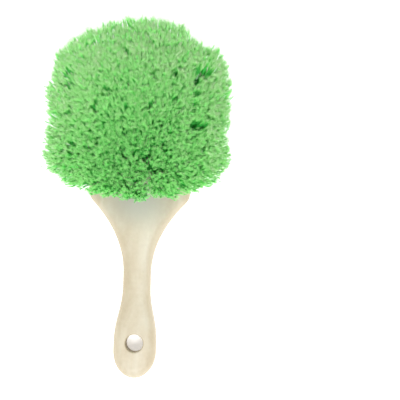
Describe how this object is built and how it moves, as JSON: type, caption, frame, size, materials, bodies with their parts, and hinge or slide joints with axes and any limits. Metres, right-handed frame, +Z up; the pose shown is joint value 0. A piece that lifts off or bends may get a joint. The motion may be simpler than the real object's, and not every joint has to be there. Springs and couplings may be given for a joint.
{
  "type": "wheel and fender brush",
  "caption": "Long-handled cleaning brush: a moulded one-piece block with a hang hole and a wide fan of flared bristle tufts staple-set in its crowned face.",
  "frame": {"origin": "on the flat back, under the middle of the head", "axes": "+Z runs up out of the flat back through the bristles, +Y runs along the handle to the toe, and +X runs across the head"},
  "size_m": [0.135, 0.2596, 0.0741],
  "materials": {
    "block": "satin moulded structural-foam plastic, cream",
    "bristle": "satin synthetic filament, bright green at the root and pale at the flagged tip",
    "staple": "bright drawn flat wire"
  },
  "bodies": {
    "root": {"handle_block": "block", "toe_tufts": "bristle", "fore_tufts": "bristle", "mid_tufts": "bristle", "heel_tufts": "bristle", "staple_01": "staple", "staple_02": "staple", "staple_03": "staple", "staple_04": "staple", "staple_05": "staple", "staple_06": "staple", "staple_07": "staple", "staple_08": "staple", "staple_09": "staple", "staple_10": "staple", "staple_11": "staple", "staple_12": "staple", "staple_13": "staple", "staple_14": "staple", "staple_15": "staple", "staple_16": "staple", "staple_17": "staple", "staple_18": "staple", "staple_19": "staple", "staple_20": "staple", "staple_21": "staple", "staple_22": "staple", "staple_23": "staple", "staple_24": "staple", "staple_25": "staple", "staple_26": "staple", "staple_27": "staple", "staple_28": "staple", "staple_29": "staple", "staple_30": "staple", "staple_31": "staple", "staple_32": "staple", "staple_33": "staple", "staple_34": "staple", "staple_35": "staple", "staple_36": "staple", "staple_37": "staple", "staple_38": "staple", "staple_39": "staple", "staple_40": "staple", "staple_41": "staple", "staple_42": "staple", "staple_43": "staple", "staple_44": "staple", "staple_45": "staple", "staple_46": "staple", "staple_47": "staple", "staple_48": "staple"}
  },
  "joints": []
}
